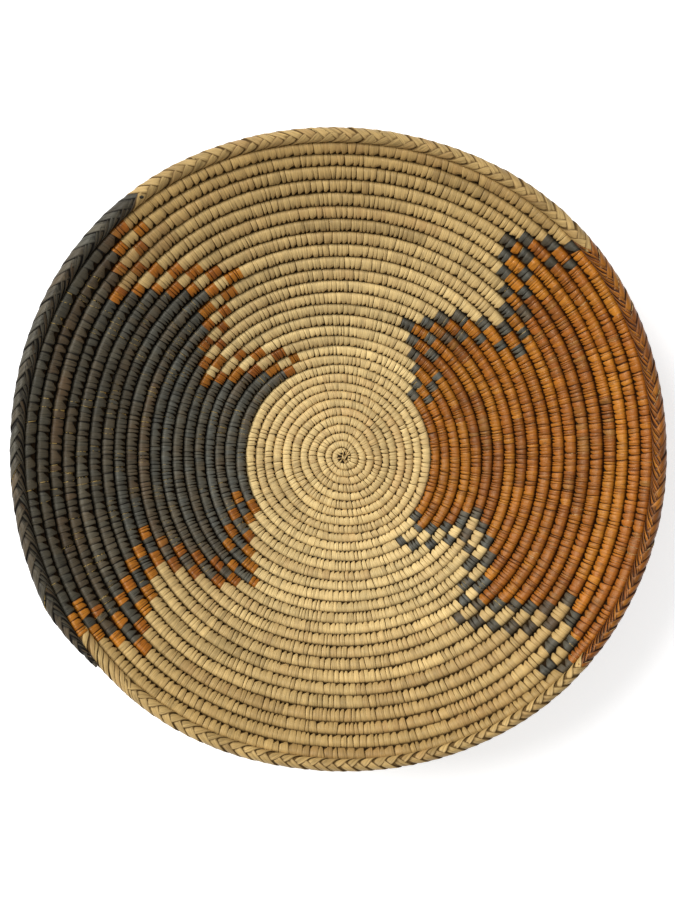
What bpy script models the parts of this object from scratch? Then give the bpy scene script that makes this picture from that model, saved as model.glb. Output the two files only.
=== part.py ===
"""Coiled basket bowl.

One bundle of grass is wound in a single spiral, flat for the base and then climbing as the wall.
Natural leaf strips bind it. In every wall row a dark strip and a rust strip are wound over the bare
bundle, and the last turn is closed by a braid in four runs of colour.

Metres, +Z up. The origin lies on the underside, under the start knot that the coil grows from. The
coil runs anticlockwise seen from above, and a place on it is a number of turns counted from the
middle: the whole numbers lie on +X.
"""

import math

import bmesh
import bpy
import numpy as np
from mathutils import Vector

# The coil's rows. A pitch is the distance from a row to the next, measured along the wall.
STEPS_PER_TURN = 18
START_STEP = 5
ROW_GAP = 0.0005
WELD_SHARE = 0.02
START_PITCH = 0.0052
BASE_PITCH = 0.0056
WALL_PITCH = 0.0075
RIM_PITCH = 0.0099
BASE_PITCH_TURN = 9
WALL_PITCH_TURN = 12
RIM_TURN = 30

# The radius after the first turn, as a share of the pitch there.
FIRST_TURN_SHARE = 1.52

# The slope of the wall, in degrees: nothing on the base, then a curve up to a steady wall.
FLAT_TURNS = 6.5
WALL_TURN = 15
WALL_SLOPE = 30
RIM_SLOPE = 33

# How far the hand-made coil strays from a round one by the rim.
DRIFT_X = -0.0015
DRIFT_Y = 0.0032
WIDE_OVAL = 0.0009
DIAGONAL_OVAL = 0.0017
CORNER_BULGE = 0.0019
DIAGONAL_DEG = 135

# The underside is worn flat where the bowl stands, by a tenth of the bundle's diameter.
FLAT_CUT_SHARE = 0.1
CUTTER_DEPTH = 0.02
CUTTER_OVERRUN = 0.01

# The coil is two lengths of bundle that meet face to face, half a step past this turn.
JOIN_TURN = 10
JOIN_GAP = 0.0003

# Dyed wraps: strips wound over the bare bundle, which is thinner there by a shoulder.
WRAP_THICKNESS = 0.0008
WRAP_CLEARANCE = 0.0003
SHOULDER_LENGTH = 0.0003
FIRST_WRAP_TURN = 11
JOINT_MARGIN_SHARE = 0.06

# Where the wraps of each row start and end, in degrees: dark start, dark end, rust start, rust end.
# The rows run outward. A rust wrap starts on the turn before, and crosses +X.
WRAP_EDGES_DEG = (
    (124.7, 206.0, 323.5, 36.6),
    (132.4, 199.1, 317.7, 30.5),
    (138.5, 206.4, 322.9, 34.5),
    (146.3, 211.5, 327.5, 37.7),
    (149.8, 216.1, 335.3, 45.0),
    (153.6, 223.7, 338.7, 50.6),
    (148.1, 218.9, 334.3, 46.0),
    (143.2, 213.8, 331.1, 42.8),
    (137.1, 209.1, 326.9, 38.1),
    (135.1, 204.8, 319.7, 32.8),
    (129.9, 200.3, 313.7, 28.4),
    (133.5, 204.3, 317.6, 32.1),
    (137.3, 206.5, 320.1, 35.4),
    (139.0, 209.8, 322.2, 39.7),
    (142.2, 212.6, 324.5, 42.8),
    (146.4, 215.4, 328.5, 45.2),
    (141.2, 212.0, 325.9, 41.1),
    (138.3, 209.1, 321.6, 38.4),
    (136.2, 210.9, 317.8, 40.5),
)

# The rim braid covers one turn, from where the plain rows end to a tapered end one row further out.
BRAID_START_TURN = 29.594
BRAID_RUNS = (
    ("rim_braid_natural_bottom", 29.883),
    ("rim_braid_rust_right", 30.108),
    ("rim_braid_natural_top", 30.353),
    ("rim_braid_dark_left", 30.6),
)
BRAID_GAP = 0.0003
TAPER_TURNS = 0.09
TAPER_END_SHARE = 0.5

# The start knot: a low button that fills the space inside the first turn, a little off the coil's
# axis. Its place is a share of the pitch there, and its outline shares of its radius and height.
KNOT_X_SHARE = 0.17
KNOT_Y_SHARE = -0.21
KNOT_GAP = 0.0004
KNOT_HEIGHT = 0.0058
KNOT_SIDES = 16
KNOT_OUTLINE_SHARES = ((0, 1), (0.77, 0.85), (1, 0.52), (1, 0.14), (0.84, 0), (0, 0))
CHORD_SAMPLES = 8

# Colour, roughness and metallic value of each material.
NATURAL = ("natural_leaf", (0.53, 0.37, 0.17), 0.62)
DARK = ("dark_leaf", (0.055, 0.047, 0.038), 0.55)
RUST = ("rust_leaf", (0.31, 0.095, 0.025), 0.55)
KNOT = ("knot_leaf", (0.4, 0.26, 0.11), 0.7)
NOT_METAL = 0.0

HALF_CORNER = math.pi / 6
FLAT_SHARE = math.cos(HALF_CORNER)
WRAP_SINK = (WRAP_THICKNESS + WRAP_CLEARANCE) / FLAT_SHARE
MERGE_DISTANCE = ROW_GAP * WELD_SHARE
END_TURN = BRAID_RUNS[-1][1]
LAST_STEP = math.ceil(END_TURN * STEPS_PER_TURN)


def clear_scene():
    for item in list(bpy.data.objects):
        bpy.data.objects.remove(item)


def new_collection(name):
    collection = bpy.data.collections.new(name)
    bpy.context.scene.collection.children.link(collection)
    return collection


def new_material(name, colour, roughness):
    material = bpy.data.materials.new(name)
    material.use_nodes = True
    shader = material.node_tree.nodes["Principled BSDF"]
    shader.inputs["Base Color"].default_value = (*colour, 1.0)
    shader.inputs["Roughness"].default_value = roughness
    shader.inputs["Metallic"].default_value = NOT_METAL
    return material


def eased(value):
    """A smooth step from 0 to 1."""
    value = min(max(value, 0.0), 1.0)
    return value * value * (3 - 2 * value)


def pitch_at(turn):
    """The distance along the wall from a row to the next one."""
    turns = (0, BASE_PITCH_TURN, WALL_PITCH_TURN, RIM_TURN)
    return float(np.interp(turn, turns, (START_PITCH, BASE_PITCH, WALL_PITCH, RIM_PITCH)))


def slope_at(turn):
    """The wall's slope, as an angle over the floor."""
    wall = WALL_SLOPE * eased((turn - FLAT_TURNS) / (WALL_TURN - FLAT_TURNS))
    flare = (RIM_SLOPE - WALL_SLOPE) * max(turn - WALL_TURN, 0) / (RIM_TURN - WALL_TURN)
    return math.radians(wall + flare)


def stray(turn):
    """How far the hand-made coil strays here: outward, and along X and Y."""
    share = turn / RIM_TURN
    angle = turn * math.tau
    ovals = WIDE_OVAL * math.cos(2 * angle) * share
    ovals += DIAGONAL_OVAL * math.cos(2 * (angle - math.radians(DIAGONAL_DEG))) * share**2
    ovals -= CORNER_BULGE * math.cos(4 * angle) * share**2
    return ovals, DRIFT_X * share, DRIFT_Y * share


def coil_line():
    """The bundle's middle line at every step: radius and climb summed along the sloping wall."""
    radius, climb = [0.0], [0.0]
    step = 1 / STEPS_PER_TURN
    for index in range(LAST_STEP):
        turn = (index + 0.5) * step
        radius.append(radius[-1] + pitch_at(turn) * math.cos(slope_at(turn)) * step)
        climb.append(climb[-1] + pitch_at(turn) * math.sin(slope_at(turn)) * step)
    first = FIRST_TURN_SHARE * START_PITCH - radius[STEPS_PER_TURN]
    line = []
    for index in range(LAST_STEP + 1):
        outward, shift_x, shift_y = stray(index * step)
        angle = index * step * math.tau
        reach = radius[index] + first + outward
        line.append(
            Vector((reach * math.cos(angle) + shift_x, reach * math.sin(angle) + shift_y, climb[index]))
        )
    return line


def row_spacing(line, index):
    """The distance to the nearer of the rows inside and outside this one."""
    near = []
    if index - STEPS_PER_TURN >= START_STEP:
        near.append((line[index] - line[index - STEPS_PER_TURN]).length)
    if index + STEPS_PER_TURN <= LAST_STEP:
        near.append((line[index] - line[index + STEPS_PER_TURN]).length)
    return min(near)


def out_of_wall(index, turn_angle):
    """The direction across the rows here, out and up the wall."""
    slope = slope_at(index / STEPS_PER_TURN)
    flat = math.cos(slope)
    return Vector((flat * math.cos(turn_angle), flat * math.sin(turn_angle), math.sin(slope)))


class Coil:
    """The finished middle line with the wrapped bundle's corner radius at each step."""

    def __init__(self):
        line = coil_line()
        steps = range(LAST_STEP + 1)
        full = [(row_spacing(line, i) - ROW_GAP) / 2 / FLAT_SHARE for i in steps]
        self.radius = [r * self.taper(i) for i, r in zip(steps, full)]
        self.points = []
        for index in steps:
            lift = full[index] * (1 - 2 * FLAT_CUT_SHARE)
            inward = (full[index] - self.radius[index]) * FLAT_SHARE
            across = out_of_wall(index, index / STEPS_PER_TURN * math.tau)
            self.points.append(line[index] + Vector((0, 0, lift)) - across * inward)

    @staticmethod
    def taper(index):
        """The share of the full size that is left where the braid runs out."""
        past = index / STEPS_PER_TURN - (END_TURN - TAPER_TURNS)
        return 1 - (1 - TAPER_END_SHARE) * min(max(past / TAPER_TURNS, 0), 1)

    def at(self, turn):
        """Place and corner radius on the straight between two steps."""
        place = turn * STEPS_PER_TURN
        low = min(int(place), LAST_STEP - 1)
        share = place - low
        point = self.points[low].lerp(self.points[low + 1], share)
        return point, self.radius[low] * (1 - share) + self.radius[low + 1] * share

    def turns_along(self, turn, length):
        """The turns that a length along the coil takes up here."""
        point = self.at(turn)[0]
        return length / (math.tau * math.hypot(point.x, point.y))

    def least_gap(self):
        """The least gap between the section corners of neighbouring rows, over every step."""
        least = []
        for index in range(START_STEP, LAST_STEP + 1 - STEPS_PER_TURN):
            inner, outer = self.corners(index), self.corners(index + STEPS_PER_TURN)
            axis = (self.points[index + STEPS_PER_TURN] - self.points[index]).normalized()
            nearest = min(corner.dot(axis) for corner in outer)
            least.append(nearest - max(corner.dot(axis) for corner in inner))
        return min(least)

    def corners(self, index):
        """The six corners of the section at a step."""
        across = out_of_wall(index, index / STEPS_PER_TURN * math.tau)
        flat = Vector((across.x, across.y, 0)).normalized()
        normal = Vector((-flat.x * across.z, -flat.y * across.z, flat.dot(across)))
        corners = []
        for number in range(6):
            angle = HALF_CORNER * (2 * number + 1)
            spoke = across * math.cos(angle) + normal * math.sin(angle)
            corners.append(self.points[index] + spoke * self.radius[index])
        return corners


def clear_of_step(turn):
    """The same place, moved if need be off a step, where the bundle's straights meet."""
    place = turn * STEPS_PER_TURN
    low = math.floor(place)
    share = min(max(place - low, JOINT_MARGIN_SHARE), 1 - JOINT_MARGIN_SHARE)
    return (low + share) / STEPS_PER_TURN


def wrap_stretches():
    """Each dyed wrap as its name, material and first and last turn."""
    stretches = []
    for row, edges in enumerate(WRAP_EDGES_DEG):
        dark_from, dark_to, rust_from, rust_to = (edge / 360 for edge in edges)
        turn = FIRST_WRAP_TURN + row
        number = row + 1
        rust = (clear_of_step(turn - 1 + rust_from), clear_of_step(turn + rust_to))
        dark = (clear_of_step(turn + dark_from), clear_of_step(turn + dark_to))
        stretches.append((f"rust_wrap_{number:02d}", RUST, *rust))
        stretches.append((f"dark_wrap_{number:02d}", DARK, *dark))
    return stretches


def braid_stretches(coil):
    """Each run of the rim braid as its name, material and first and last turn."""
    colours = (NATURAL, RUST, NATURAL, DARK)
    stretches = []
    start = BRAID_START_TURN
    for (name, end), colour in zip(BRAID_RUNS, colours):
        stretches.append((name, colour, start, end - coil.turns_along(end, BRAID_GAP)))
        start = end
    return stretches


def tube(name, stations, collection, material, capped):
    """A six-sided tube through stations of place, corner radius and turn, ridge outward."""
    curve = bpy.data.curves.new(name, "CURVE")
    curve.dimensions = "3D"
    curve.twist_mode = "Z_UP"
    curve.bevel_mode = "ROUND"
    curve.bevel_depth = 1.0
    curve.bevel_resolution = 1
    curve.use_fill_caps = capped
    spline = curve.splines.new("POLY")
    spline.points.add(len(stations) - 1)
    for spot, (place, radius, turn) in zip(spline.points, stations):
        spot.co = (*place, 1.0)
        spot.radius = radius
        spot.tilt = HALF_CORNER - slope_at(turn)
    curve.materials.append(material)
    item = bpy.data.objects.new(name, curve)
    collection.objects.link(item)
    return item


def steps_between(first, last):
    """The steps strictly between two places on the coil."""
    low = math.floor(first * STEPS_PER_TURN) + 1
    high = math.ceil(last * STEPS_PER_TURN) - 1
    return range(low, high + 1)


def wrap(coil, stretch, collection, materials):
    """A dyed wrap or a braid run: an open tube round the bare bundle, given its thickness."""
    name, colour, first, last = stretch
    stations = [(*coil.at(first), first)]
    for index in steps_between(first, last):
        stations.append((coil.points[index], coil.radius[index], index / STEPS_PER_TURN))
    stations.append((*coil.at(last), last))
    item = tube(name, stations, collection, materials[colour[0]], capped=False)
    solidify = item.modifiers.new("thickness", "SOLIDIFY")
    solidify.thickness = WRAP_THICKNESS
    solidify.offset = -1
    solidify.use_even_offset = True
    solidify.use_rim = True
    return item


def bundle_stations(coil, first, last, bare):
    """Stations of the bundle from one place to another, sunk by a shoulder where it is bare."""
    stations = [(*coil.at(first), first)]
    stations += [
        (coil.points[index], coil.radius[index], index / STEPS_PER_TURN)
        for index in steps_between(first, last)
    ]
    stations.append((*coil.at(last), last))
    for start, end in bare:
        back = coil.turns_along(start, SHOULDER_LENGTH)
        on = coil.turns_along(end, SHOULDER_LENGTH)
        for turn in (start - back, start, end, end + on):
            if first < turn < last:
                stations.append((*coil.at(turn), turn))
    stations.sort(key=lambda station: station[2])
    return [
        (place, radius - WRAP_SINK if any(a <= turn <= b for a, b in bare) else radius, turn)
        for place, radius, turn in stations
    ]


def as_mesh(item):
    """The same tube as a mesh with its caps welded on."""
    bpy.context.view_layer.update()
    graph = bpy.context.evaluated_depsgraph_get()
    mesh = bpy.data.meshes.new_from_object(item.evaluated_get(graph))
    shape = bmesh.new()
    shape.from_mesh(mesh)
    bmesh.ops.remove_doubles(shape, verts=shape.verts, dist=MERGE_DISTANCE)
    shape.to_mesh(mesh)
    shape.free()
    name, home = item.name, item.users_collection[0]
    place = item.matrix_world.copy()
    bpy.data.objects.remove(item)
    solid = bpy.data.objects.new(name, mesh)
    solid.matrix_world = place
    home.objects.link(solid)
    return solid


def floor_cutter(coil, cutters):
    """A block below the floor, wide enough for the whole base."""
    side = 2 * (coil.at(JOIN_TURN)[0].xy.length + CUTTER_OVERRUN)
    bpy.ops.mesh.primitive_cube_add(size=1, location=(0, 0, -CUTTER_DEPTH / 2))
    cutter = bpy.context.active_object
    cutter.name = "floor_cutter"
    cutter.scale = (side, side, CUTTER_DEPTH)
    cutter.hide_render = True
    cutter.display_type = "WIRE"
    for home in list(cutter.users_collection):
        home.objects.unlink(cutter)
    cutters.objects.link(cutter)
    return cutter


def base_coil(coil, join, collection, material, cutter):
    """The flat base: the first turns, with their underside cut flat."""
    first = START_STEP / STEPS_PER_TURN
    stations = bundle_stations(coil, first, join - coil.turns_along(join, JOIN_GAP / 2), ())
    item = as_mesh(tube("base_coil", stations, collection, material, capped=True))
    cut = item.modifiers.new("flat_underside", "BOOLEAN")
    cut.operation = "DIFFERENCE"
    cut.solver = "EXACT"
    cut.object = cutter
    return item


def wall_coil(coil, join, bare, collection, material):
    """The wall: every turn from the base to the end under the rim braid."""
    start = join + coil.turns_along(join, JOIN_GAP / 2)
    stations = bundle_stations(coil, start, END_TURN, bare)
    return tube("wall_coil", stations, collection, material, capped=True)


def room_round(coil, centre):
    """The distance from a place on the floor to the nearest point of the first turns."""
    samples = range(START_STEP * CHORD_SAMPLES, 2 * STEPS_PER_TURN * CHORD_SAMPLES)
    room = []
    for sample in samples:
        point, radius = coil.at(sample / CHORD_SAMPLES / STEPS_PER_TURN)
        room.append((point.xy - centre).length - radius)
    return min(room)


def start_knot(coil, collection, material):
    """A low button, turned from its outline."""
    centre = Vector((KNOT_X_SHARE * START_PITCH, KNOT_Y_SHARE * START_PITCH))
    knot_radius = room_round(coil, centre) - KNOT_GAP
    mesh = bpy.data.meshes.new("start_knot")
    shape = bmesh.new()
    spots = [
        shape.verts.new((across * knot_radius, 0, up * KNOT_HEIGHT))
        for across, up in KNOT_OUTLINE_SHARES
    ]
    for one, other in zip(spots, spots[1:]):
        shape.edges.new((one, other))
    shape.to_mesh(mesh)
    shape.free()
    mesh.materials.append(material)
    item = bpy.data.objects.new("start_knot", mesh)
    item.location = (*centre, 0)
    collection.objects.link(item)
    screw = item.modifiers.new("turned", "SCREW")
    screw.steps = KNOT_SIDES
    screw.render_steps = KNOT_SIDES
    screw.use_merge_vertices = True
    screw.merge_threshold = MERGE_DISTANCE
    screw.use_smooth_shade = True
    return item


def main():
    clear_scene()
    parts = new_collection("coiled_basket_bowl")
    cutters = new_collection("cutters")
    materials = {look[0]: new_material(*look) for look in (NATURAL, DARK, RUST, KNOT)}
    coil = Coil()
    wraps = wrap_stretches() + braid_stretches(coil)
    bare = [(first, last) for _, _, first, last in wrap_stretches()]
    bare.append((BRAID_START_TURN, END_TURN))
    join = JOIN_TURN + 0.5 / STEPS_PER_TURN
    start_knot(coil, parts, materials[KNOT[0]])
    base_coil(coil, join, parts, materials[NATURAL[0]], floor_cutter(coil, cutters))
    wall_coil(coil, join, bare, parts, materials[NATURAL[0]])
    for stretch in wraps:
        wrap(coil, stretch, parts, materials)
    print(f"least gap between rows of the coil: {coil.least_gap() * 1000:.3f} mm")


main()
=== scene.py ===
"""Coiled basket bowl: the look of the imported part. Metres, +Z up.

Each stitch is a patch of skin with a seam on either side, narrowing to a tooth between two rows. The
rim braid is made of single strips laid slantwise over the last turn.
"""

import math

import bpy
import numpy as np
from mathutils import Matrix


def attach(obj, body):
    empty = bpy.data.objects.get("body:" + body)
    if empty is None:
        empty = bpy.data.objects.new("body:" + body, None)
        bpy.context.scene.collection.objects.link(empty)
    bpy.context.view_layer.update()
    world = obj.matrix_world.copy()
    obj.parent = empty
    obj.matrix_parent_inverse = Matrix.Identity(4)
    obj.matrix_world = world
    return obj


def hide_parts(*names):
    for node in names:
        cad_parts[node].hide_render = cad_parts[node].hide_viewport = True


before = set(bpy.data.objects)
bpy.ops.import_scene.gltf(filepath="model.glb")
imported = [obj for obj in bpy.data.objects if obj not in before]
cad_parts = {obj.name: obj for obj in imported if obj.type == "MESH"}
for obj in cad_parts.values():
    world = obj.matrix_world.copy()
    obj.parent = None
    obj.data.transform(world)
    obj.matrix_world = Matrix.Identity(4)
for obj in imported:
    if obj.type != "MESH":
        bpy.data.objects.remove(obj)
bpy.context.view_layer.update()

MM = 0.001
SEED = 7

# The coil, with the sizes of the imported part.
ROW_GAP = 0.0005
PITCH_TURNS = (0, 9, 12, 30)
PITCHES = (0.0052, 0.0056, 0.0075, 0.0099)
FIRST_TURN = 1.52
FLAT_TURNS = 6.5
WALL_TURN = 15
RIM_TURN = 30
WALL_SLOPE = 30
RIM_SLOPE = 33
DRIFT_X = -0.0015
DRIFT_Y = 0.0032
WIDE_OVAL = 0.0009
DIAGONAL_OVAL = 0.0017
CORNER_BULGE = 0.0019
DIAGONAL_DEG = 135
FLAT_CUT = 0.1
FLAT_SHARE = math.cos(math.pi / 6)
BRAID_START = 29.594
STITCH_END = 29.598
COIL_END = 30.615

# How far, in millimetres, the rings lie outside the even spiral: at a turn, all round, then what swings
# once to four times round the bowl, each as its cosine and sine part.
SWAY = (
    (3, -0.9, 1.0, -0.3, 0.0, -0.8, -0.1, -0.3, 0.1, -0.3),
    (9, 0.7, -0.4, -0.6, 0.0, -0.6, -0.2, -0.4, 0.0, 0.2),
    (14, 0.9, -1.0, -1.0, 0.6, -0.7, 0.0, -0.1, -0.2, -0.1),
    (20, 1.6, -0.1, -0.2, 0.5, 0.4, 0.1, -0.1, 0.2, -0.2),
    (26, 3.5, 1.3, -0.7, -0.1, 0.6, 0.2, -0.3, 0.3, 0.5),
    (28.8, 3.3, 0.6, -0.8, -0.2, 0.7, 0.0, -0.4, 0.3, 0.2),
    (29.6, 1.6, 0.3, -0.6, 0.2, 1.2, 0.1, 0.1, 0.5, 0.1),
    (30.6, 0.8, 0.2, 0.0, 0.2, 1.1, 0.5, 0.2, 0.5, 0.1),
)
SWAY_FULL = 2

# The coil's table, how its rows wander and how its ends narrow.
STEPS = 360
TURNS = 31.7
WANDER_REACH = 22
WANDER_OUT = 0.00024
WANDER_UP = 0.00022
CALM_START = 4
CALM_END = 1.5
OUTER_SHARE = 1.02
START_TAPER = 0.55
START_SHARE = 0.6
END_TAPER = 0.035
END_SHARE = 0.25
END_BLEND = 0.01
ROUNDNESS = 2.5
HEIGHT_SHARE = 0.95
FLOOR_SOFT = 0.0005

# Stitches: the mean width of a strip at some turns, each colour's share of it at two turns, and how
# far single widths differ. The colours are n for natural, d for dark and r for rust.
FIRST_STITCH = 0.1
WIDTH_TURNS = (0, 3, 10, 18, 26, 28.5, 29.6)
WIDTHS = (0.0022, 0.0028, 0.0031, 0.0031, 0.0034, 0.0043, 0.0048)
SHARE_TURNS = (20, 28.5)
WIDTH_SHARES = {"n": (1.0, 1.0), "d": (0.85, 1.3), "r": (0.72, 0.72)}
WIDTH_SPREADS = {"n": 0.24, "d": 0.22, "r": 0.42}
WIDTH_LIMITS = (0.5, 1.9)

# What differs from stitch to stitch. The stitches of one leaf strip share its tone and hue. A pair is
# the middle and the spread, or the limits. Lifts and tilts are in millimetres.
STRIP_STITCHES = (5, 36)
STRIP_TONE = 0.7
STITCH_TONE = 0.45
HUE_SHAPE = (1.5, 2.4)
HUE_SPREAD = 0.13
LIFT_SPREAD = 0.13
LIFT_LIMIT = 0.3
TILT = (0.05, 0.10)
TOOTH_SIZE = (0.92, 0.38)
TOOTH_LIMITS = (0.15, 1.7)
SMALL_TOOTH = 0.25
SEAM_DEPTH = (-0.2, 0.85)
SEAM_LIMITS = (0.12, 2.2)
LEAN = (-0.08, 0.10)
# Colours shift from this turn to the rim: the natural and dark leaves grow darker, the rust lighter.
RIM_SHIFT_FROM = 15

# The angles round the bundle that are modelled: 0 is out along the wall, 90 is into the bowl and 180
# is towards the middle. At the touching angles a row meets its neighbours.
RING_DEG = (0, 14, 28, 45, 65, 84, 98, 110, 122, 134, 148, 165, 182, 205, 232, 262, 292, 320, 342)
TOUCHING_DEG = (0, 182)
TOUCHING_LIFT = 0.00012

# A stitch's columns: the place across it, how far a tooth moves it, how deep seam and tooth press it in
# (in millimetres) and how much painted shade (the groove's colour) seam and tooth give it.
COLUMN_TABLE = np.array((
    (0.0, 0.0, 0.46, 1.7, 1.0, 1.0),
    (0.05, 0.47, 0.14, 1.8, 0.5, 1.0),
    (0.115, 0.52, 0.0, 0.0, 0.0, 0.0),
    (0.885, 0.0, 0.0, 0.0, 0.0, 0.0),
    (0.955, 0.0, 0.12, 0.2, 0.35, 0.15),
))
COLUMNS = len(COLUMN_TABLE)
COLUMN_PLACE = COLUMN_TABLE[:, 0]
TOOTH_MOVE, SEAM_DIP, TOOTH_DIP, SEAM_SHADE, TOOTH_SHADE = COLUMN_TABLE.T[1:, None, :, None]
TOOTH_WIDEST = 1.15
TOOTH_SHARP = 2.5
GROOVE_SHADE = 0.75
RELIEF_START = 0.55
RELIEF_GROWTH = 0.45
FIBRE_SHIFT = 3
BOTH_EDGES = 0.4

# Round the ring: how much sooner rows hide each other outside, and where grooves and seams grow weaker.
# Whole numbers are degrees.
HIDDEN_SHARE = 1.6
LEAST_SPAN = 0.9
INNER_GROOVE = 0.07
INNER_SOFT = 0.06
OUTER_GROOVE = 2
OUTER_SOFT = 16
SEAM_LEAST = 0.4
SEAM_GROWTH = 0.7
SEAM_FROM = 30
SEAM_SOFT = 80

# By colour: how much of a row the teeth take, how wide and deep they are cut, how many stitches have
# one, how deep the groove is pressed (in millimetres), how strong and how wide a seam is, and how
# many stitches show a pale cut edge.
COLOUR_TABLE = {
    "n": (0.23, 0.9, 0.38, 0.9, 0.0, 1.15, 1.0, 0.03),
    "d": (0.34, 1.1, 0.9, 0.65, 0.42, 1.2, 1.6, 0.15),
    "r": (0.20, 0.9, 0.7, 0.7, 0.25, 1.2, 1.3, 0.05),
}

# The pattern: where each row's colour changes in each quarter turn, on a scale of 1400 to the quarter,
# from the innermost of its 19 rows to the rim. A row has the fourth quarter first, then the others.
CHART_UNITS = 1400
CHART_TURN = 11
CHART_COLOURS = {0: "rdrdn", 1: "nrnrd", 2: "drdrn", 3: "ndndr"}
CHART_SINGLES = {0: "rdn", 1: "nrd", 2: "drn", 3: "ndr"}
CHART = (
    ((743, 832), (570, 675), (448, 540), (405, 530)),
    ((507, 570, 695, 742), (475, 535, 635, 715), (368, 443, 545, 660), (297, 390, 495, 575)),
    ((560, 645, 745, 823), (537, 610, 743, 793), (448, 545, 668, 755), (410, 487, 605, 672)),
    ((665, 737, 830, 895), (587, 630, 808, 880), (572, 662, 765, 875), (490, 580, 675, 755)),
    ((775, 832, 903, 1015), (700, 783, 872, 940), (672, 740, 858, 930), (562, 637, 740, 833)),
    ((848, 930, 1002, 1068), (787, 845, 940, 1018), (783, 862, 918, 990), (680, 733, 840, 885)),
    ((808, 855, 945, 1000), (715, 767, 850, 915), (718, 762, 837, 903), (605, 678, 735, 800)),
    ((733, 815, 885, 950), (665, 717, 793, 866), (643, 690, 753, 827), (525, 590, 682, 742)),
    ((647, 717, 805, 885), (593, 635, 722, 798), (583, 633, 685, 733), (453, 507, 578, 630)),
    ((597, 645, 692, 773), (510, 550, 633, 692), (508, 577, 633, 702), (385, 428, 490, 552)),
    ((535, 573, 637, 680), (442, 490, 555, 612), (448, 520, 570, 620), (315, 365, 430, 488)),
    ((577, 630, 683, 740), (500, 540, 605, 662), (515, 577, 633, 677), (378, 427, 478, 522)),
    ((628, 665, 737, 780), (550, 610, 668, 715), (572, 632, 677, 735), (412, 460, 530, 588)),
    ((667, 717, 768, 812), (617, 660, 725, 767), (630, 680, 733, 762), (463, 517, 563, 617)),
    ((712, 757, 803, 848), (665, 705, 765, 800), (683, 725, 775, 812), (507, 540, 615, 660)),
    ((770, 812, 870, 910), (703, 750, 780, 827), (722, 762, 823, 877), (550, 598, 663, 715)),
    ((718, 760, 822, 870), (640, 670, 742, 782), (670, 708, 762, 797), (498, 527, 598, 638)),
    ((657, 708, 757, 803), (597, 625, 675, 722), (630, 668, 715, 752), (453, 510, 543, 590)),
    ((700, 743), (630, 665), (672, 718), (480,)),
)

# How the wrapping is cut: a row ends after this share of a turn, and the inner rows go up to this one.
ROW_END = 0.75
INNER_ROWS = 10
LAST_ROW = 19

# The rim braid: each run's start and end, the distance between its strips, the slant of its outer and
# inner strips, and how many inner strips go with an outer one. The first strips lie one way only.
BRAID_RUNS = (
    ("rim_braid_natural_bottom", "natural", 29.594, 29.883, 0.0087, (42, 38), 1),
    ("rim_braid_rust_right", "rust", 29.883, 30.108, 0.0082, (38, 26), 2),
    ("rim_braid_natural_top", "natural", 30.108, 30.353, 0.0087, (42, 38), 1),
    ("rim_braid_dark_left", "dark", 30.353, 30.614, 0.0104, (38, 27), 2),
)
# Each braid run's share of the rim's colour shift.
BRAID_RIM_SHIFTS = {"natural": 0.76, "dark": 0.6, "rust": 0.0}
BRAID_TONES = 0.9
BRAID_HUES = (1.6, 2.2)
BRAID_EDGES = 0.1
OPENING_SPAN = 0.034
OPENING_PITCH = 0.0052
OPENING_DEG = 168

# A strip of the braid: its angles in the outer and the inner column, how far it covers the next one,
# how it tilts and how its ends are tucked in.
ARM_DEG = ((80, -125), (60, 190))
ARM_STATIONS = 15
ARM_COVER = 1.2
NARROW_COVER = 1.08
ARM_TILT = 0.75
ARM_TILT_OUT = 0.5
ARM_FLAT = 20
ARM_STEEP = 80
ARM_LIFT = -0.0003
ARM_THICK = 0.0005
ARM_TUCK = 0.1
ARM_END_TUCK = 0.8
ARM_TUCK_DEPTH = 0.0005
ARM_TUCK_THIN = 0.1
ARM_SHORTEST = 0.3
ARM_SIZE_BACK = 0.2

# How far single strips of the braid differ, with their ends in degrees and the lift in millimetres.
BEGIN_SPREAD = 3
END_SPREAD = 8
PLACE_SPREAD = 0.04
SLANT_SPREAD = 0.05
ARM_LIFT_SPREAD = 0.05
ARM_WIDTH_SPREAD = 0.06
ARM_FOLDS = (0.45, 1.0)

# A strip's section: places across it and above its middle, how much painted shade each takes at the
# edges and underside, the point that the fold moves and the face that can be a pale cut edge.
STRIP_RING = (
    (-0.5, -0.3), (-0.45, 0.5), (-0.3, 1.0), (0.0, 0.9), (0.3, 1.0), (0.45, 0.5), (0.5, -0.3),
    (0.3, -0.8), (-0.3, -0.8),
)
STRIP_ACROSS, STRIP_UP = np.array(STRIP_RING).T
STRIP_SHADE = np.array((1.0, 0.8, 0.0, 0.0, 0.0, 0.8, 1.0, 1.0, 1.0))
STRIP_FOLD = 3
EDGE_FACE = 5
STRIP_GIRTH = 2.1
# Painted shade where a strip's ends tuck under others, and under a low fold.
STRIP_END = 0.16
END_SHADE = 0.6
FOLD_SHADE = 1.2
FOLD_LOSS = 1.6

# Plain bundles, coloured all over with painted shade where they show in the gaps: the distance between
# rings, their shares of the row's width and height with their lift, and their tone, hue, edge and shift
# towards the rim.
GRASS_START = 0.12
GRASS = (0.006, (0.97, 0.5, 0), (0, 0, 0, 0))
CORE = (0.003, (1, 1, -0.0005), (0, 0.6, 0, 1))
LEAST_RINGS = 4

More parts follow.
